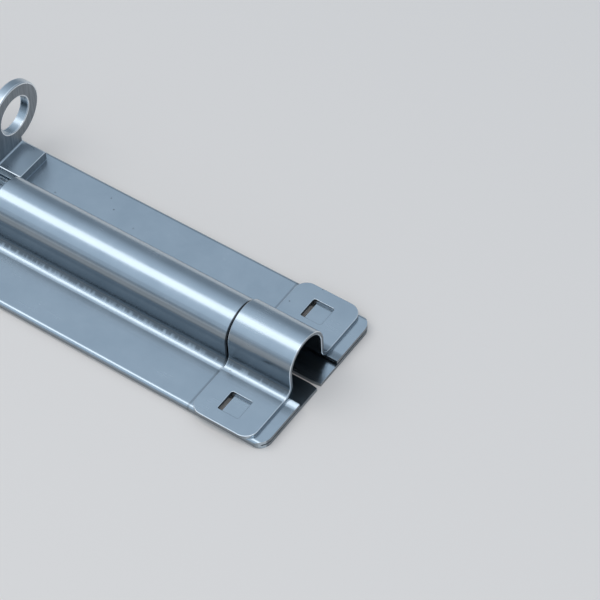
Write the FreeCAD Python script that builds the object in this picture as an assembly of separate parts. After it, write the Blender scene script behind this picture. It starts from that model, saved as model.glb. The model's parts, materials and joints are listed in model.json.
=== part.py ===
import FreeCAD, Part
import math
import os

# Padbolt: a round bolt that slides and turns in a folded sheet body, with a flat handle that swings down
# beside a fixed staple so that one padlock goes through both eyes, and a loose keeper for the other leaf.
# Millimetres. The origin is the middle of the body's back. X runs along the bolt towards its nose,
# Y goes across to the staple's side and Z comes up off the back. The bolt is drawn withdrawn.

# Sheet of the body and the keeper
SHEET = 1.1
HEM_GAP = 0.4
BODY_WIDTH = 50.0
CORNER_RADIUS = 4.0
SEAM = 1.0
SEAM_FLARE = 0.5
SEAM_FLARE_LENGTH = 2.5

# Body along the bolt, from the nose end to the tail end
FRONT_LAND = 23.5
LONG_ARCH = 78.1
STAPLE_SETBACK = 13.4
THROW = 45.0
REAR_ARCH = 20.0
REAR_LAND = 23.5
LAND_REACH = 1.6

# Arch over the bolt
ARCH_FILLET = 2.4
STRIP_SETBACK = 0.5
BOLT_SIDE_PLAY = 0.5
BOLT_FLOOR_GAP = 0.4
BOLT_HEADROOM = 2.3

# Bolt
BOLT_DIAMETER = 12.0
NOSE_SETBACK = 1.7
NOSE_CHAMFER = 1.4
TAIL_CHAMFER = 0.6
TAIL_HOLD = 8.6

# Square fixing holes
HOLE = 6.5
HOLE_CORNER = 0.5
HOLE_SIDE_INSET = 6.6
HOLE_END_INSET = 18.7

# Keeper, pressed with the same tool as the long arch
KEEPER_GAP = 0.5
KEEPER_LENGTH = 19.6
KEEPER_OVERHANG = 0.75
KEEPER_CORNER = 3.8

# Staple: an upright eye plate bent up from a foot that is welded to the flange
STAPLE_PLATE = 3.0
STAPLE_BEND = 0.6
STAPLE_FOOT = 8.0
FOOT_SIDE_INSET = 2.4
EYE = 11.4
EYE_RIM = 4.3
EYE_ACROSS = 21.0
EYE_ABOVE_FLANGE = 14.2

# Handle: a flat plate welded to the bolt
HANDLE_PLATE = 3.0
HANDLE_WIDTH = 15.6
HANDLE_RIM = 4.3
HANDLE_SEAT = 0.05
HANDLE_FLANGE_GAP = 0.3
HANDLE_STAPLE_GAP = 0.4
HANDLE_ARCH_GAP = 0.5

# Chamfer on the sheared edges of the two 3 mm plates, and round their eyes
PLATE_EDGE = 0.35
EYE_EDGE = 0.25

# How far a cutter runs past the face it opens, and how close counts as the same place
PAST = 1.0
CLOSE = 0.01

# Heights
floor_z = SHEET
hem_radius = SHEET + HEM_GAP / 2
flange_z = 2 * hem_radius
bolt_radius = BOLT_DIAMETER / 2
bolt_z = floor_z + BOLT_FLOOR_GAP + bolt_radius
crown_z = bolt_z + bolt_radius + BOLT_HEADROOM + SHEET
arch_radius = bolt_radius + BOLT_SIDE_PLAY + SHEET
foot_y = arch_radius + ARCH_FILLET
strip_edge = foot_y + STRIP_SETBACK
above = crown_z + PAST

# Places along the bolt
window = STAPLE_SETBACK + STAPLE_PLATE + HANDLE_STAPLE_GAP + THROW + HANDLE_PLATE + HANDLE_ARCH_GAP
body_length = FRONT_LAND + LONG_ARCH + window + REAR_ARCH + REAR_LAND
front_x = body_length / 2
rear_x = -front_x
arch_front_x = front_x - FRONT_LAND
window_front_x = arch_front_x - LONG_ARCH
window_rear_x = window_front_x - window
arch_rear_x = window_rear_x - REAR_ARCH
staple_x = window_front_x - STAPLE_SETBACK
handle_x = window_rear_x + HANDLE_ARCH_GAP
nose_x = arch_front_x - NOSE_SETBACK
tail_x = window_rear_x - TAIL_HOLD - THROW
keeper_rear_x = arch_front_x + KEEPER_GAP
keeper_x = keeper_rear_x + KEEPER_LENGTH / 2
hole_y = BODY_WIDTH / 2 - HOLE_SIDE_INSET

# The staple's eye, and the handle's eye that has to meet it
eye_z = flange_z + EYE_ABOVE_FLANGE
eye_reach = math.hypot(EYE_ACROSS, eye_z - bolt_z)
eye_angle = math.atan2(eye_z - bolt_z, EYE_ACROSS)

COS45 = math.sqrt(0.5)


def outline(start, *steps):
    """A face across the bolt, in Y and Z. A step is an end point, or an arc's middle and end points."""
    edges = []
    here = start
    for step in steps:
        if isinstance(step[0], tuple):
            middle, end = step
            edges.append(Part.Arc(across(here), across(middle), across(end)).toShape())
        else:
            end = step
            edges.append(Part.LineSegment(across(here), across(end)).toShape())
        here = end
    return Part.Face(Part.Wire(edges))


def across(point, x=0.0):
    return FreeCAD.Vector(x, point[0], point[1])


def run(face, start_x, end_x):
    """The face carried along the bolt from one place to another."""
    face.translate(FreeCAD.Vector(start_x, 0, 0))
    return face.extrude(FreeCAD.Vector(end_x - start_x, 0, 0))


def block(x, y, z):
    """A box between the pairs of ends in x, y and z."""
    size = [high - low for low, high in (x, y, z)]
    return Part.makeBox(*size, FreeCAD.Vector(x[0], y[0], z[0]))


def hat(side, flange, crown, radius, fillet):
    """Steps over the arch, from the foot of its fillet on one side (1 or -1) to the other foot."""
    bend_z = flange + fillet
    bend_y = radius + fillet
    round_z = crown - radius
    near_foot = (side * (bend_y - fillet * COS45), bend_z - fillet * COS45)
    far_foot = (-side * (bend_y - fillet * COS45), bend_z - fillet * COS45)
    return [
        (near_foot, (side * radius, bend_z)),
        (side * radius, round_z),
        ((0.0, crown), (-side * radius, round_z)),
        (-side * radius, bend_z),
        (far_foot, (-side * bend_y, flange)),
    ]


def square_hole(x, y):
    """The square that a coach bolt's neck sits in, through everything at that place."""
    half = HOLE / 2
    cutter = block((x - half, x + half), (y - half, y + half), (-PAST, above))
    return cutter.makeFillet(HOLE_CORNER, [e for e in cutter.Edges if e.BoundBox.ZLength > above])


def corner_cutter(side_x, side_y):
    """What is cut off one corner of the body to round it in plan."""
    centre_x = front_x - CORNER_RADIUS
    centre_y = BODY_WIDTH / 2 - CORNER_RADIUS
    corner = block((centre_x, front_x + PAST), (centre_y, BODY_WIDTH / 2 + PAST), (-PAST, above))
    disc = Part.makeCylinder(CORNER_RADIUS, above + PAST, FreeCAD.Vector(centre_x, centre_y, -PAST))
    cutter = corner.cut(disc)
    if side_x < 0:
        cutter = cutter.mirror(FreeCAD.Vector(), FreeCAD.Vector(1, 0, 0))
    if side_y < 0:
        cutter = cutter.mirror(FreeCAD.Vector(), FreeCAD.Vector(0, 1, 0))
    return cutter


def seam_flare(side_x):
    """The seam under the body opens a little at its ends, where the two wings' corners are eased."""
    inner = SEAM / 2
    outer = inner + SEAM_FLARE
    start_x = front_x - SEAM_FLARE_LENGTH
    end_x = front_x + PAST
    corners = [(start_x, -inner), (end_x, -outer), (end_x, outer), (start_x, inner), (start_x, -inner)]
    plan = Part.makePolygon([FreeCAD.Vector(side_x * x, y, -PAST) for x, y in corners])
    return Part.Face(plan).extrude(FreeCAD.Vector(0, 0, PAST + hem_radius))


def make_body():
    """One sheet: an arch down the middle, and both sides folded under until their edges meet at a seam."""
    hem_y = BODY_WIDTH / 2 - hem_radius
    half_seam = SEAM / 2
    under = flange_z - SHEET
    inside = arch_radius - SHEET
    section = outline(
        (half_seam, 0.0),
        (hem_y, 0.0),
        ((BODY_WIDTH / 2, hem_radius), (hem_y, flange_z)),
        (foot_y, flange_z),
        *hat(1, flange_z, crown_z, arch_radius, ARCH_FILLET),
        (-hem_y, flange_z),
        ((-BODY_WIDTH / 2, hem_radius), (-hem_y, 0.0)),
        (-half_seam, 0.0),
        (-half_seam, floor_z),
        (-hem_y, floor_z),
        ((-hem_y - HEM_GAP / 2, hem_radius), (-hem_y, under)),
        (-foot_y, under),
        *hat(-1, under, crown_z - SHEET, inside, ARCH_FILLET + SHEET),
        (hem_y, under),
        ((hem_y + HEM_GAP / 2, hem_radius), (hem_y, floor_z)),
        (half_seam, floor_z),
        (half_seam, 0.0),
    )
    body = run(section, rear_x, front_x)
    middle = (-strip_edge, strip_edge)
    upper = (hem_radius, above)
    cutters = [
        block((arch_front_x, front_x + PAST), middle, upper),
        block((window_rear_x, window_front_x), middle, upper),
        block((rear_x - PAST, arch_rear_x), middle, upper),
    ]
    for side_x in (-1, 1):
        cutters.append(seam_flare(side_x))
        for side_y in (-1, 1):
            cutters.append(corner_cutter(side_x, side_y))
            cutters.append(square_hole(side_x * (front_x - HOLE_END_INSET), side_y * hole_y))
    flats = []
    for ends in ((rear_x, arch_rear_x), (arch_front_x, front_x)):
        flats.append(block(ends, (foot_y - LAND_REACH, strip_edge), (under, flange_z)))
        flats.append(block(ends, (-strip_edge, LAND_REACH - foot_y), (under, flange_z)))
    return body.cut(cutters).fuse(flats).removeSplitter()


def make_keeper():
    """A short strap of the same arch. It lies on the flat end of the body, in line with the long arch."""
    half_width = BODY_WIDTH / 2 + KEEPER_OVERHANG
    top = flange_z + SHEET
    crown = crown_z + SHEET
    section = outline(
        (half_width, flange_z),
        (half_width, top),
        (foot_y, top),
        *hat(1, top, crown, arch_radius, ARCH_FILLET),
        (-half_width, top),
        (-half_width, flange_z),
        (-foot_y, flange_z),
        *hat(-1, flange_z, crown - SHEET, arch_radius - SHEET, ARCH_FILLET + SHEET),
        (half_width, flange_z),
    )
    keeper = run(section, keeper_rear_x, keeper_rear_x + KEEPER_LENGTH)
    sides = [e for e in keeper.Edges if abs(abs(e.CenterOfMass.y) - half_width) < CLOSE]
    keeper = keeper.makeFillet(KEEPER_CORNER, [e for e in sides if e.BoundBox.XLength < CLOSE])
    return keeper.cut([square_hole(keeper_x, hole_y), square_hole(keeper_x, -hole_y)])


def make_bolt():
    """A plain round bar. Its nose is chamfered so that it finds the keeper."""
    axis = FreeCAD.Vector(1, 0, 0)
    bar = Part.makeCylinder(bolt_radius, nose_x - tail_x, across((0.0, bolt_z), tail_x), axis)
    for end_x, chamfer in ((nose_x, NOSE_CHAMFER), (tail_x, TAIL_CHAMFER)):
        bar = bar.makeChamfer(chamfer, [e for e in bar.Edges if abs(e.CenterOfMass.x - end_x) < CLOSE])
    return bar


def rims(plate, radius):
    """The round edges of that radius."""
    circles = [e for e in plate.Edges if isinstance(e.Curve, Part.Circle)]
    return [e for e in circles if abs(e.Curve.Radius - radius) < CLOSE]


def eased(plate, sheared):
    """The plate with its sheared edges eased, and then the two edges of its eye."""
    plate = plate.makeChamfer(PLATE_EDGE, sheared)
    return plate.makeChamfer(EYE_EDGE, rims(plate, EYE / 2))


def make_staple():
    """A flat bar bent up at a right angle. Its upright end is rounded about the eye, its foot is welded."""
    rim = EYE / 2 + EYE_RIM
    near_y = EYE_ACROSS - rim
    far_y = BODY_WIDTH / 2 - FOOT_SIDE_INSET
    back_x = staple_x - STAPLE_PLATE
    inner = STAPLE_BEND
    outer = STAPLE_BEND + STAPLE_PLATE
    top = flange_z + STAPLE_PLATE
    bend_x = staple_x + inner
    bend_z = top + inner

    def along(x, z):
        return FreeCAD.Vector(x, near_y, z)

    edges = [
        Part.LineSegment(along(bend_x, flange_z), along(staple_x + STAPLE_FOOT, flange_z)),
        Part.LineSegment(along(staple_x + STAPLE_FOOT, flange_z), along(staple_x + STAPLE_FOOT, top)),
        Part.LineSegment(along(staple_x + STAPLE_FOOT, top), along(bend_x, top)),
        Part.Arc(along(bend_x, top), along(bend_x - inner * COS45, bend_z - inner * COS45),
                 along(staple_x, bend_z)),
        Part.LineSegment(along(staple_x, bend_z), along(staple_x, eye_z)),
        Part.LineSegment(along(staple_x, eye_z), along(back_x, eye_z)),
        Part.LineSegment(along(back_x, eye_z), along(back_x, bend_z)),
        Part.Arc(along(back_x, bend_z), along(bend_x - outer * COS45, bend_z - outer * COS45),
                 along(bend_x, flange_z)),
    ]
    bar = Part.Face(Part.Wire([e.toShape() for e in edges])).extrude(FreeCAD.Vector(0, far_y - near_y, 0))
    axis = FreeCAD.Vector(1, 0, 0)
    eye_at = across((EYE_ACROSS, eye_z), back_x)
    disc = Part.makeCylinder(rim, STAPLE_PLATE, eye_at, axis)
    below = block((back_x, staple_x), (EYE_ACROSS - rim, EYE_ACROSS + rim), (bend_z - 2 * rim, bend_z))
    bar = bar.fuse(disc.cut(below)).removeSplitter()
    bar = bar.cut(Part.makeCylinder(EYE / 2, STAPLE_PLATE, eye_at, axis))
    open_edges = [e for e in bar.Edges if e.BoundBox.ZMax > flange_z + CLOSE]
    long_edges = [e for e in open_edges if abs(e.Length - STAPLE_PLATE) > CLOSE]
    sides = [e for e in long_edges if e.BoundBox.YLength < CLOSE]
    return eased(bar, sides + rims(bar, rim))


def make_handle():
    """A flat plate square to the bolt. It is notched to sit on the bolt, and widens to its full width.

    It is drawn lying along Y and then turned about the bolt to where its eye meets the staple's. The heel's
    slope is what lies flat on the flange there, and it is the same both ways up.
    """
    rim = EYE / 2 + HANDLE_RIM
    half = HANDLE_WIDTH / 2
    drop = bolt_z - flange_z - HANDLE_FLANGE_GAP
    heel_start = bolt_radius * math.cos(eye_angle)

    def heel(reach):
        return (drop + reach * math.sin(eye_angle)) / math.cos(eye_angle)

    heel_end = max((half * math.cos(eye_angle) - drop) / math.sin(eye_angle), heel_start + CLOSE)
    start = heel(0.0)
    plate = Part.Face(Part.makePolygon([
        across((0.0, -min(start, half))),
        across((heel_end, -half)),
        across((eye_reach, -half)),
        across((eye_reach, half)),
        across((heel_end, half)),
        across((0.0, min(start, half))),
        across((0.0, -min(start, half))),
    ])).extrude(FreeCAD.Vector(HANDLE_PLATE, 0, 0))
    axis = FreeCAD.Vector(1, 0, 0)
    eye_at = across((eye_reach, 0.0))
    seat_radius = bolt_radius + HANDLE_SEAT
    plate = plate.fuse(Part.makeCylinder(rim, HANDLE_PLATE, eye_at, axis)).removeSplitter()
    plate = plate.cut([
        Part.makeCylinder(EYE / 2, HANDLE_PLATE, eye_at, axis),
        Part.makeCylinder(seat_radius, HANDLE_PLATE, FreeCAD.Vector(), axis),
    ])
    straight = [e for e in plate.Edges if isinstance(e.Curve, Part.Line)]
    sides = [e for e in straight if e.BoundBox.XLength < CLOSE]
    plate = eased(plate, sides + rims(plate, rim))
    plate.rotate(FreeCAD.Vector(), axis, math.degrees(eye_angle))
    plate.translate(FreeCAD.Vector(handle_x, 0, bolt_z))
    return plate


os.makedirs("parts", exist_ok=True)
for name, shape in {
    "body": make_body(),
    "keeper": make_keeper(),
    "staple": make_staple(),
    "bolt": make_bolt(),
    "handle": make_handle(),
}.items():
    if not shape.isValid() or len(shape.Solids) != 1:
        raise RuntimeError(f"{name}: valid {shape.isValid()}, solids {len(shape.Solids)}")
    shape.Solids[0].exportStep(f"parts/{name}.step")
    print(name, round(shape.Volume), "mm3", shape.BoundBox)
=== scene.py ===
import json
import math

import bmesh
import bpy
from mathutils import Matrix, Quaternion, Vector


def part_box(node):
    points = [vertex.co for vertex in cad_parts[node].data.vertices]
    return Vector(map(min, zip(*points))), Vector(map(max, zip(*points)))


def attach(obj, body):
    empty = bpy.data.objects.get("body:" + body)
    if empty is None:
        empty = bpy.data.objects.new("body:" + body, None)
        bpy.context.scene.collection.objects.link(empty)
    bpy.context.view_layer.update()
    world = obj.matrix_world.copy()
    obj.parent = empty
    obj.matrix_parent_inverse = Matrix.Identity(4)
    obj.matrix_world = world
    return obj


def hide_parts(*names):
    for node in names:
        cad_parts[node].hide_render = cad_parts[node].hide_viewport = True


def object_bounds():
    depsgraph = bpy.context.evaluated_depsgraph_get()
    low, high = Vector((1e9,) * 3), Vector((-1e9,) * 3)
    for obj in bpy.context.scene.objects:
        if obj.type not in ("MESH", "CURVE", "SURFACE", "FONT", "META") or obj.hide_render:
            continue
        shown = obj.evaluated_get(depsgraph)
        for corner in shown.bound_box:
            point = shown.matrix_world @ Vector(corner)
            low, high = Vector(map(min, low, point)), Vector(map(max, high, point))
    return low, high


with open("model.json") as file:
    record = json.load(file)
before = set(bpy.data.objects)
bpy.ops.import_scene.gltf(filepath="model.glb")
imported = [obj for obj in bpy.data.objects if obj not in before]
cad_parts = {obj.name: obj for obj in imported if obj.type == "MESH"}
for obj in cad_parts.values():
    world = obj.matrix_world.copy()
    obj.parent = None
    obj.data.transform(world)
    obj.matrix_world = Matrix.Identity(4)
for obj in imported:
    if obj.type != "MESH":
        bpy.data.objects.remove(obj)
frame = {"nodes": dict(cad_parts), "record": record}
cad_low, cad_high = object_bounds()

# Body: the long sheet that carries everything. It is cold-rolled steel about 1.1 mm thick, pressed into an
# arch down its middle, folded under along both sides and then plated with bright zinc.
MERGE = 0.000002
FLAT_ANGLE = math.radians(0.4)
SHARP_ANGLE = math.radians(40)
SHEET_EDGE = 0.0002
PUNCHED_EDGE = 0.00035
EDGE_STEPS = 2
EDGE_PROFILE = 0.5
LARGE_FACES_FIRST = 90

# The four square holes lie this far from the middle, and this finds their walls and tells the rims that get
# painted shade from those that get a painted highlight.
HOLE_ALONG = 0.0865
HOLE_ACROSS = 0.0184
HOLE_REACH = 0.0036
HOLE_WALL = 0.1
SHADED_RIM_FACING = 0.2

# Steep faces get painted shade, which sets in at a lower steepness on the bend where the arch meets the flange.
MARKS = ("edge_highlight", "cut", "steep_shade", "bent")
CUT_FACE = 0.9
SHADE_ON_SIDE = (0.75, 1.0)
SHADE_ON_BEND = (0.34, 0.55)
BEND_TOP = 0.0062
BEND_ACROSS = (0.0065, 0.0125)
BEND_RUN_OUT = (0.6, 0.85)
FLAT_FACE = 0.995


def in_hole(point, hole_along):
    """Whether the point lies at a square hole of the row at this place. A piece may have no such row."""
    if hole_along is None:
        return False
    along = abs(abs(point.x) - hole_along)
    across = abs(abs(point.y) - HOLE_ACROSS)
    return max(along, across) < HOLE_REACH


def ramp(value, limits):
    """How far the value has come from the first limit to the second, as a share of the way."""
    return min(1.0, max(0.0, (value - limits[0]) / (limits[1] - limits[0])))


def steel_from(node, edge, hole_along=None):
    """A mesh with the node's own shape, its flats whole, and its sharp edges and punched holes worn round.

    Four marks go with it for the finish: cut on the faces left by the shears and the punch, dark steel that is
    partly painted shade, and on the rims of each hole that face +Y or -X, as painted shade; a painted
    highlight on all other rounded edges; painted shade on the steep sides, setting in sooner on the bend; and
    bent where the arch's feet run out into the flanges.
    """
    mesh = frame["nodes"][node].data.copy()
    form = bmesh.new()
    form.from_mesh(mesh)
    bmesh.ops.remove_doubles(form, verts=form.verts, dist=MERGE)
    bmesh.ops.dissolve_limit(form, angle_limit=FLAT_ANGLE, verts=form.verts, edges=form.edges)
    edge_highlight, cut, steep_shade, bent = [form.faces.layers.float.new(mark) for mark in MARKS]
    form.normal_update()
    for face in form.faces:
        middle = face.calc_center_median()
        hole_wall = in_hole(middle, hole_along) and abs(face.normal.z) < HOLE_WALL
        on_bend = middle.z < BEND_TOP and BEND_ACROSS[0] < abs(middle.y) < BEND_ACROSS[1]
        face[cut] = float(hole_wall or abs(face.normal.x) > CUT_FACE)
        if not hole_wall:
            # Steep faces get painted shade, sooner on the bend.
            face[steep_shade] = ramp(abs(face.normal.y), SHADE_ON_BEND if on_bend else SHADE_ON_SIDE)
        if on_bend and face.normal.z < FLAT_FACE:
            face[bent] = ramp(face.normal.z, BEND_RUN_OUT)
    sharp = [e for e in form.edges if e.is_manifold and e.calc_face_angle() > SHARP_ANGLE]
    punched = [e for e in sharp if all(in_hole(end.co, hole_along) for end in e.verts)]
    sheared = [e for e in sharp if e not in punched]
    for edges, offset in ((punched, PUNCHED_EDGE), (sheared, edge)):
        rounded = bmesh.ops.bevel(
            form, geom=edges, offset=offset, segments=EDGE_STEPS, profile=EDGE_PROFILE, affect="EDGES",
            clamp_overlap=True)
        for face in rounded["faces"]:
            # Rims that face +Y or -X take the dark cut colour as painted shade, and all other rounded edges
            # take a painted highlight.
            shaded_rim = edges is punched and (face.normal.y > SHADED_RIM_FACING or face.normal.x < -SHADED_RIM_FACING)
            face[edge_highlight] = float(not shaded_rim)
            face[cut] = float(shaded_rim)
            face[steep_shade] = 0.0
            face[bent] = 0.0
    for face in form.faces:
        face.smooth = True
    form.to_mesh(mesh)
    form.free()
    return mesh


def in_scene(name, data):
    """A new object in the scene that shows this data."""
    thing = bpy.data.objects.new(name, data)
    bpy.context.scene.collection.objects.link(thing)
    return thing


def plain_mesh(thing):
    """What the object's modifiers make of it, as a mesh with nothing left live. The object itself goes."""
    mesh = bpy.data.meshes.new_from_object(thing.evaluated_get(bpy.context.evaluated_depsgraph_get()))
    thing.modifiers.clear()
    bpy.data.objects.remove(thing)
    return mesh


def plain_piece(name, mesh, material):
    """The mesh as a piece of one material, whose shading leans on its large faces."""
    rough = in_scene(name + "_rough", mesh)
    rough.modifiers.new("weighted", "WEIGHTED_NORMAL").weight = LARGE_FACES_FIRST
    made = plain_mesh(rough)
    made.materials.clear()
    made.materials.append(material)
    return in_scene(name, made)


# A Mix node's sockets share their names, so those for colours go by their numbers.
MIX_UNDER = 6
MIX_OVER = 7
MIX_COLOUR = 2


def add(tree, kind, inputs=(), **settings):
    """A node in the tree, with its settings, and each input given a value or joined to another's output."""
    node = tree.nodes.new(kind)
    for name, value in settings.items():
        setattr(node, name, value)
    for socket, value in dict(inputs).items():
        if isinstance(value, bpy.types.NodeSocket):
            tree.links.new(value, node.inputs[socket])
        else:
            node.inputs[socket].default_value = value
    return node


def sum_of(tree, operation, *values):
    """What the operation makes of the values, each of them a number or another node's output."""
    return add(tree, "ShaderNodeMath", enumerate(values), operation=operation).outputs[0]


def carried(tree, value, start, end=(0.0, 1.0), **settings):
    """The value carried over from the range start to the range end, and held at both ends of it."""
    return add(tree, "ShaderNodeMapRange", {
        "Value": value, "From Min": start[0], "From Max": start[1], "To Min": end[0], "To Max": end[1],
    }, **settings).outputs[0]


def laid_over(tree, share, under, over, **settings):
    """The colour that is seen where this share of one colour lies over another."""
    return add(tree, "ShaderNodeMix", {
        "Factor": share, MIX_UNDER: under, MIX_OVER: over,
    }, data_type="RGBA", **settings).outputs[MIX_COLOUR]


ZINC = (0.485, 0.56, 0.62, 1)
ZINC_CLOUD = (0.53, 0.605, 0.665, 1)
# Painted highlight for the rounded edges.
EDGE_HIGHLIGHT_ZINC = (0.78, 0.83, 0.87, 1)
# Dark bare steel for nicks and cut faces. On cut faces it is darker than bare steel and stands in as painted
# shade.
BARE_STEEL_AND_SHADE = (0.195, 0.218, 0.24, 1)
BARE_RIDGE_AND_SHADE = (0.29, 0.322, 0.352, 1)
# Painted shade: a dark line standing for the shadow in the gap beside the keeper.
SHADE_LINE_ZINC = (0.035, 0.04, 0.045, 1)

# The plating is cloudy, shows the steel's grain through it, has a skin of fine crystals and a few nicks.
CLOUDS_TO_THE_METRE = 95
CLOUD_DETAIL = 4
CLOUD_BREAK_UP = 0.6
CLOUD_TONE = (0.35, 0.65)
CLOUD_SATIN = (0.3, 0.7)
GRAIN_DETAIL = 5
GRAIN_RIDGES = (0.35, 0.65)
GRAIN_DULL = 0.12
CRYSTALS_TO_THE_METRE = 2600
CRYSTAL_DETAIL = 3
CRYSTAL_RISE = 0.25
NICKS_TO_THE_METRE = 150
NICK_REACH = (0.02, 0.045)
NICK_STRENGTH = 0.8

# Cut faces are matt and steep ones carry painted shade, and streaks run across the bend where the sheet was
# strained, rougher there and breaking the painted shade into lighter streaks.
CUT_DULL = 0.14
STEEP_SHADE_TONE = 0.38
ACROSS_THE_BEND = (850, 90, 90)
STRAIN_DETAIL = 4
STRAIN_STREAKS = (0.47, 0.7)
STRAIN_DULL = 0.14

# A painted shade line, for the shadow in the gap beside the keeper's edge, is strongest up on the arch, and the
# arch's foot swells a little before the flange lies flat.
SHADE_LINE_REACH = (0.00018, 0.00045)
SHADE_LINE_RISE = (0.0028, 0.0045)
SHADE_LINE_ON_FLANGE = 0.3
FOOT_ACROSS = (0.0078, 0.0111)
FOOT_RISE = 0.00062


def zinc_finish(name, roughness, grain_along, grain_depth, pressed=False, shade_line_at=None):
    """Bright zinc over steel: cloudy patches, small nicks, and the steel's own grain under the plating.

    It reads the four marks that steel_from leaves, with the painted shade and painted highlight they carry. On
    pressed sheet the bend at the arch's foot runs out softly into the flange. At one given place along X a dark
    line of painted shade is laid across it, for the shadow of the gap beside another piece.
    """
    material = bpy.data.materials.new(name)
    material.use_nodes = True
    tree = material.node_tree
    tree.nodes.clear()
    at = add(tree, "ShaderNodeTexCoord").outputs["Object"]
    place = add(tree, "ShaderNodeSeparateXYZ", {"Vector": at}).outputs
    edge_highlight, cut, steep_shade, bent = [
        add(tree, "ShaderNodeAttribute", attribute_name=mark).outputs["Fac"] for mark in MARKS]
    clouds = add(tree, "ShaderNodeTexNoise", {
        "Vector": at, "Scale": CLOUDS_TO_THE_METRE, "Detail": CLOUD_DETAIL,
        "Roughness": CLOUD_BREAK_UP}).outputs["Fac"]
    crystals = add(tree, "ShaderNodeTexNoise", {
        "Vector": at, "Scale": CRYSTALS_TO_THE_METRE, "Detail": CRYSTAL_DETAIL}).outputs["Fac"]
    along_grain = add(tree, "ShaderNodeMapping", {"Vector": at, "Scale": grain_along}).outputs[0]
    grain = add(tree, "ShaderNodeTexNoise", {
        "Vector": along_grain, "Scale": 1, "Detail": GRAIN_DETAIL}).outputs["Fac"]
    across_bend = add(tree, "ShaderNodeMapping", {"Vector": at, "Scale": ACROSS_THE_BEND}).outputs[0]
    strain = add(tree, "ShaderNodeTexNoise", {
        "Vector": across_bend, "Scale": 1, "Detail": STRAIN_DETAIL}).outputs["Fac"]
    nicks = add(tree, "ShaderNodeTexVoronoi", {
        "Vector": at, "Scale": NICKS_TO_THE_METRE}).outputs["Distance"]

    plated = laid_over(tree, carried(tree, clouds, CLOUD_TONE), ZINC, ZINC_CLOUD)
    nicked = laid_over(tree, carried(tree, nicks, NICK_REACH, (NICK_STRENGTH, 0.0)), plated, BARE_STEEL_AND_SHADE)
    # Cut faces take the dark steel, partly painted shade.
    tear = laid_over(tree, carried(tree, grain, GRAIN_RIDGES), BARE_STEEL_AND_SHADE, BARE_RIDGE_AND_SHADE)
    sheared = laid_over(tree, cut, nicked, tear)
    # Steep faces are darkened as painted shade, lifted in streaks on the bend.
    streaks = sum_of(tree, "MULTIPLY", carried(tree, strain, STRAIN_STREAKS), bent)
    steep_shade_share = sum_of(tree, "MULTIPLY", steep_shade, sum_of(tree, "SUBTRACT", 1.0, streaks))
    steep_shade_factor = carried(tree, steep_shade_share, (0.0, 1.0), (1.0, STEEP_SHADE_TONE))
    shaded_tone = laid_over(tree, 1.0, sheared, steep_shade_factor, blend_type="MULTIPLY")
    # Rounded edges take a painted highlight.
    tone = laid_over(tree, edge_highlight, shaded_tone, EDGE_HIGHLIGHT_ZINC)
    # A line of painted shade across X, darkest up on the arch, for the shadow in the gap beside the keeper.
    if shade_line_at is not None:
        away = sum_of(tree, "ABSOLUTE", sum_of(tree, "SUBTRACT", place["X"], shade_line_at))
        shade_line_height = carried(tree, place["Z"], SHADE_LINE_RISE, (SHADE_LINE_ON_FLANGE, 1.0))
        mark = sum_of(tree, "MULTIPLY", carried(tree, away, SHADE_LINE_REACH, (1.0, 0.0)), shade_line_height)
        tone = laid_over(tree, mark, tone, SHADE_LINE_ZINC)

    satin = carried(tree, clouds, CLOUD_SATIN, roughness)
    grained = sum_of(tree, "MULTIPLY_ADD", grain, GRAIN_DULL, satin)
    centred = sum_of(tree, "SUBTRACT", grained, GRAIN_DULL / 2)
    matt = sum_of(tree, "MULTIPLY_ADD", cut, CUT_DULL, centred)
    dull = sum_of(tree, "MULTIPLY_ADD", streaks, STRAIN_DULL, matt)

    skin = sum_of(tree, "MULTIPLY_ADD", crystals, CRYSTAL_RISE, grain)
    relief = add(tree, "ShaderNodeBump", {
        "Height": skin, "Strength": 1.0, "Distance": grain_depth}).outputs[0]
    if pressed:
        side = sum_of(tree, "ABSOLUTE", place["Y"])
        foot = carried(tree, side, FOOT_ACROSS, (FOOT_RISE, 0.0), interpolation_type="SMOOTHSTEP")
        relief = add(tree, "ShaderNodeBump", {
            "Height": foot, "Strength": 1.0, "Distance": 1.0, "Normal": relief}).outputs[0]
    metal = add(tree, "ShaderNodeBsdfPrincipled", {
        "Base Color": tone, "Metallic": 1.0, "Roughness": dull, "Normal": relief})
    add(tree, "ShaderNodeOutputMaterial", {"Surface": metal.outputs[0]})
    return material


SHEET_ROUGHNESS = (0.20, 0.27)
ALONG_THE_COIL = (60, 2200, 2200)
SHEET_GRAIN = 0.0000052
SHADE_LINE_BACK = 0.0007

keeper_low, keeper_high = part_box("keeper")
# The body gets a line of painted shade just behind the keeper's back edge, for the gap's shadow.
zinc_body = zinc_finish("zinc_body", SHEET_ROUGHNESS, ALONG_THE_COIL, SHEET_GRAIN, pressed=True,
                        shade_line_at=keeper_low.x - SHADE_LINE_BACK)
body = plain_piece("body_sheet", steel_from("body", SHEET_EDGE, HOLE_ALONG), zinc_body)
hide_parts("body")
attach(body, "body")

# Keeper: a short strap pressed from the same sheet, with the same arch and two square holes, and zinc plated.
# It is loose, and is screwed to the frame or the other leaf, where it takes the bolt's nose.
zinc_sheet = zinc_finish("zinc_sheet", SHEET_ROUGHNESS, ALONG_THE_COIL, SHEET_GRAIN, pressed=True)
keeper_middle = (keeper_low.x + keeper_high.x) / 2
keeper = plain_piece("keeper_strap", steel_from("keeper", SHEET_EDGE, keeper_middle), zinc_sheet)
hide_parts("keeper")
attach(keeper, "body")

# Staple: a sheared 3 mm steel bar bent up at a right angle, punched with a round eye for the padlock and
# zinc plated. Its foot is welded to the flange.
PLATE_EDGE = 0.00022
PLATE_ROUGHNESS = (0.22, 0.38)
ACROSS_THE_PLATE = (2200, 2200, 120)
PLATE_GRAIN = 0.000006

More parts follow.
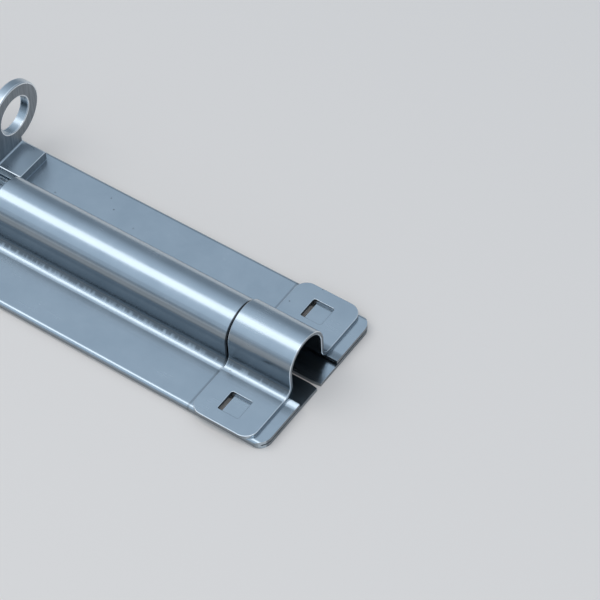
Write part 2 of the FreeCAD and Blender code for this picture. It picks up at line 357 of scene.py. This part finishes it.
zinc_plate = zinc_finish("zinc_plate", PLATE_ROUGHNESS, ACROSS_THE_PLATE, PLATE_GRAIN)
staple = plain_piece("staple_bar", steel_from("staple", PLATE_EDGE), zinc_plate)
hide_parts("staple")
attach(staple, "body")

# Bolt: a length of drawn round steel bar, cropped and chamfered at both ends and zinc plated. It slides and
# turns under the body's two arches, which are all that holds it.
BAR_SIDES = 96
NOSE_CHAMFER = 0.0014
TAIL_CHAMFER = 0.0006
BAR_ROUGHNESS = (0.16, 0.30)
ROUND_THE_BAR = (90, 1800, 1800)
BAR_GRAIN = 0.000004


def growing_tree(name, inputs):
    """A new node tree that gives geometry, with named inputs of these kinds, and what those inputs bring."""
    tree = bpy.data.node_groups.new(name, "GeometryNodeTree")
    tree.interface.new_socket("Geometry", in_out="OUTPUT", socket_type="NodeSocketGeometry")
    for socket, kind in inputs.items():
        tree.interface.new_socket(socket, in_out="INPUT", socket_type="NodeSocket" + kind)
    return tree, add(tree, "NodeGroupInput").outputs


def end_tree(tree, shape, turn, given):
    """Turns the shape, moves it to its middle, gives it its finish and ends the tree with it."""
    laid = add(tree, "GeometryNodeTransform", {
        "Geometry": shape, "Rotation": turn, "Translation": given["Middle"]})
    real = add(tree, "GeometryNodeRealizeInstances", {"Geometry": laid.outputs[0]})
    finished = add(tree, "GeometryNodeSetMaterial", {
        "Geometry": real.outputs[0], "Material": given["Finish"]})
    add(tree, "NodeGroupOutput", {"Geometry": finished.outputs[0]})


def grown(tree, name, values):
    """What a node tree grows, as a plain mesh. The values go to the tree's inputs by their names."""
    seed = in_scene(name + "_seed", bpy.data.meshes.new(name + "_seed"))
    modifier = seed.modifiers.new(name, "NODES")
    modifier.node_group = tree
    for socket in tree.interface.items_tree:
        if socket.in_out == "INPUT":
            modifier[socket.identifier] = values[socket.name]
    return plain_mesh(seed)


def turned_bar():
    """A tree for a round bar along X, chamfered by its own amount at each end."""
    tree, given = growing_tree("turned_bar", {
        "Radius": "Float", "Straight": "Float", "Nose chamfer": "Float", "Tail chamfer": "Float",
        "Sides": "Int", "Middle": "Vector", "Finish": "Material"})
    bar = add(tree, "GeometryNodeMeshCylinder", {
        "Vertices": given["Sides"], "Radius": given["Radius"], "Depth": given["Straight"]})
    shape = bar.outputs["Mesh"]
    for end, chamfer in (("Top", "Nose chamfer"), ("Bottom", "Tail chamfer")):
        grow = add(tree, "GeometryNodeExtrudeMesh", {
            "Mesh": shape, "Selection": bar.outputs[end], "Offset Scale": given[chamfer]})
        left = sum_of(tree, "SUBTRACT", given["Radius"], given[chamfer])
        share = sum_of(tree, "DIVIDE", left, given["Radius"])
        drawn_in = add(tree, "GeometryNodeScaleElements", {
            "Geometry": grow.outputs["Mesh"], "Selection": grow.outputs["Top"], "Scale": share})
        shape = drawn_in.outputs[0]
    end_tree(tree, shape, (0, math.pi / 2, 0), given)
    return tree


zinc_bar = zinc_finish("zinc_bar", BAR_ROUGHNESS, ROUND_THE_BAR, BAR_GRAIN)
bolt_low, bolt_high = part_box("bolt")
bolt_middle = (bolt_low + bolt_high) / 2
bolt_radius = (bolt_high.z - bolt_low.z) / 2
straight_low = bolt_low.x + TAIL_CHAMFER
straight_high = bolt_high.x - NOSE_CHAMFER
bar = grown(turned_bar(), "bolt_bar", {
    "Radius": bolt_radius,
    "Straight": straight_high - straight_low,
    "Nose chamfer": NOSE_CHAMFER,
    "Tail chamfer": TAIL_CHAMFER,
    "Sides": BAR_SIDES,
    "Middle": ((straight_low + straight_high) / 2, bolt_middle.y, bolt_middle.z),
    "Finish": zinc_bar,
})
bolt = plain_piece("bolt_bar", bar, zinc_bar)
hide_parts("bolt")
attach(bolt, "bolt")

# Handle: a flat 3 mm steel plate with a round eye, sheared and punched like the staple and notched to sit
# on the bolt. It is plated together with the bolt.
handle = plain_piece("handle_plate", steel_from("handle", PLATE_EDGE), zinc_plate)
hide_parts("handle")
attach(handle, "handle")

# Weld: the bead of steel that holds the handle on the bolt, laid in short steps round the plate's front
# before both are plated.
BEAD_RADIUS = 0.001
BEAD_SEAT = 0.0001
BEAD_SWEEP = math.radians(118)
BEAD_POINTS = 150
BEAD_SIDES = 14
BEAD_RIPPLES = 11
RIPPLE_DEPTH = 0.17
BEAD_TAPER = 7.0
BEAD_TIP = 0.05
EVERY_WAY = (900, 900, 900)
BEAD_GRAIN = 0.000012


def weld_bead():
    """A tree for a rippled bead along an arc round the X axis, thin at both ends."""
    tree, given = growing_tree("weld_bead", {
        "Arc radius": "Float", "Start": "Float", "Sweep": "Float", "Bead radius": "Float",
        "Ripples": "Float", "Ripple depth": "Float", "Taper": "Float", "Tip": "Float",
        "Points": "Int", "Sides": "Int", "Middle": "Vector", "Finish": "Material"})
    arc = add(tree, "GeometryNodeCurveArc", {
        "Resolution": given["Points"], "Radius": given["Arc radius"], "Start Angle": given["Start"],
        "Sweep Angle": given["Sweep"]}, mode="RADIUS")
    along = add(tree, "GeometryNodeSplineParameter").outputs["Factor"]
    turns = sum_of(tree, "MULTIPLY", given["Ripples"], math.tau)
    wave = sum_of(tree, "SINE", sum_of(tree, "MULTIPLY", along, turns))
    swell = sum_of(tree, "MULTIPLY_ADD", wave, given["Ripple depth"], 1.0)
    hump = sum_of(tree, "MULTIPLY", along, sum_of(tree, "SUBTRACT", 1.0, along))
    steep = sum_of(tree, "MULTIPLY", hump, given["Taper"])
    ends = sum_of(tree, "SQRT", sum_of(tree, "MINIMUM", steep, 1.0))
    size = sum_of(tree, "MAXIMUM", sum_of(tree, "MULTIPLY", swell, ends), given["Tip"])
    rippled = add(tree, "GeometryNodeSetCurveRadius", {"Curve": arc.outputs["Curve"], "Radius": size})
    section = add(tree, "GeometryNodeCurvePrimitiveCircle", {
        "Resolution": given["Sides"], "Radius": given["Bead radius"]}, mode="RADIUS")
    swept = add(tree, "GeometryNodeCurveToMesh", {
        "Curve": rippled.outputs[0], "Profile Curve": section.outputs["Curve"], "Fill Caps": True})
    end_tree(tree, swept.outputs[0], (math.pi / 2, 0, math.pi / 2), given)
    return tree


zinc_weld = zinc_finish("zinc_weld", PLATE_ROUGHNESS, EVERY_WAY, BEAD_GRAIN)
handle_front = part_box("handle")[1].x
handle_eye = next(m for m in frame["record"]["mounts"] if m["name"] == "handle_eye")["pos_m"]
plate_angle = math.atan2(handle_eye[2] - bolt_middle.z, handle_eye[1] - bolt_middle.y)
bead = grown(weld_bead(), "handle_weld", {
    "Arc radius": bolt_radius,
    "Start": plate_angle - BEAD_SWEEP / 2,
    "Sweep": BEAD_SWEEP,
    "Bead radius": BEAD_RADIUS,
    "Ripples": BEAD_RIPPLES,
    "Ripple depth": RIPPLE_DEPTH,
    "Taper": BEAD_TAPER,
    "Tip": BEAD_TIP,
    "Points": BEAD_POINTS,
    "Sides": BEAD_SIDES,
    "Middle": (handle_front + BEAD_SEAT, bolt_middle.y, bolt_middle.z),
    "Finish": zinc_weld,
})
weld = plain_piece("handle_weld", bead, zinc_weld)
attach(weld, "handle")

# Floor: a plain pale sheet of paper that the body's back lies on. It is no part of the padbolt. It takes its
# shadow and shows faintly in the zinc.
FLOOR_SIZE = 3.0
FLOOR_COLOUR = (0.84, 0.775, 0.722, 1)
FLOOR_ROUGHNESS = 0.9
FLOOR_SHINE = 0.1

floor_form = bmesh.new()
bmesh.ops.create_grid(floor_form, x_segments=1, y_segments=1, size=FLOOR_SIZE / 2)
floor_mesh = bpy.data.meshes.new("floor")
floor_form.to_mesh(floor_mesh)
floor_form.free()
paper = bpy.data.materials.new("floor_paper")
paper.use_nodes = True
paper_shader = paper.node_tree.nodes["Principled BSDF"]
paper_shader.inputs["Base Color"].default_value = FLOOR_COLOUR
paper_shader.inputs["Roughness"].default_value = FLOOR_ROUGHNESS
paper_shader.inputs["Specular IOR Level"].default_value = FLOOR_SHINE
floor_mesh.materials.append(paper)
floor = in_scene("floor", floor_mesh)
floor.location.z = cad_low.z

# Light: one long soft box hung over the arch, a little to its plain side, in a pale room that is brighter
# overhead and on that side than it is near the floor.
ROOM_LOW = (0.25, 0.30, 0.355, 1)
ROOM_HIGH = (0.605, 0.715, 0.835, 1)
ROOM_RISE = (0, -0.35, 1)
ROOM_RANGE = (0.2, 0.8)
BOX_LENGTH = 2.4
BOX_WIDTH = 0.62
BOX_AWAY = 1.0
BOX_TILT = math.radians(14)
BOX_GLOW = 1.12
BOX_COLOUR = (1.0, 0.965, 0.93)

world = bpy.data.worlds.new("room")
world.use_nodes = True
room = world.node_tree
room.nodes.clear()
direction = add(room, "ShaderNodeTexCoord").outputs["Generated"]
rise = add(room, "ShaderNodeVectorMath", {0: direction, 1: ROOM_RISE}, operation="DOT_PRODUCT")
walls = laid_over(room, carried(room, rise.outputs["Value"], ROOM_RANGE), ROOM_LOW, ROOM_HIGH)
glow = add(room, "ShaderNodeBackground", {"Color": walls, "Strength": 1.0})
add(room, "ShaderNodeOutputWorld", {"Surface": glow.outputs[0]})
bpy.context.scene.world = world

soft_box = bpy.data.lights.new("soft_box", "AREA")
soft_box.shape = "RECTANGLE"
soft_box.size = BOX_LENGTH
soft_box.size_y = BOX_WIDTH
soft_box.energy = BOX_GLOW * math.pi * BOX_LENGTH * BOX_WIDTH
soft_box.color = BOX_COLOUR
lamp = in_scene("soft_box", soft_box)
lamp.location = (0, -BOX_AWAY * math.sin(BOX_TILT), BOX_AWAY * math.cos(BOX_TILT))
lamp.rotation_euler = (-BOX_TILT, 0, 0)

# Camera: above the nose end on the plain side, looking down along the body, and so close that the tail end
# falls outside the picture.
VIEW_AZIMUTH = math.radians(37.53)
VIEW_ELEVATION = math.radians(50.51)
VIEW_ROLL = math.radians(3.14)
VIEW_DISTANCE = 0.7698
LOOK_AT = Vector((0.08555, 0.01960, 0.003))
LENS = 175.4
SENSOR = 36

towards_camera = Vector((
    math.sin(VIEW_AZIMUTH) * math.cos(VIEW_ELEVATION),
    -math.cos(VIEW_AZIMUTH) * math.cos(VIEW_ELEVATION),
    math.sin(VIEW_ELEVATION),
))
level = (-towards_camera).to_track_quat("-Z", "Y")
camera_data = bpy.data.cameras.new("camera")
camera_data.lens = LENS
camera_data.sensor_width = SENSOR
camera = in_scene("camera", camera_data)
camera.location = LOOK_AT + towards_camera * VIEW_DISTANCE
camera.rotation_mode = "QUATERNION"
camera.rotation_quaternion = level @ Quaternion((0, 0, 1), -VIEW_ROLL)
bpy.context.scene.camera = camera
bpy.context.scene.view_settings.view_transform = "Standard"
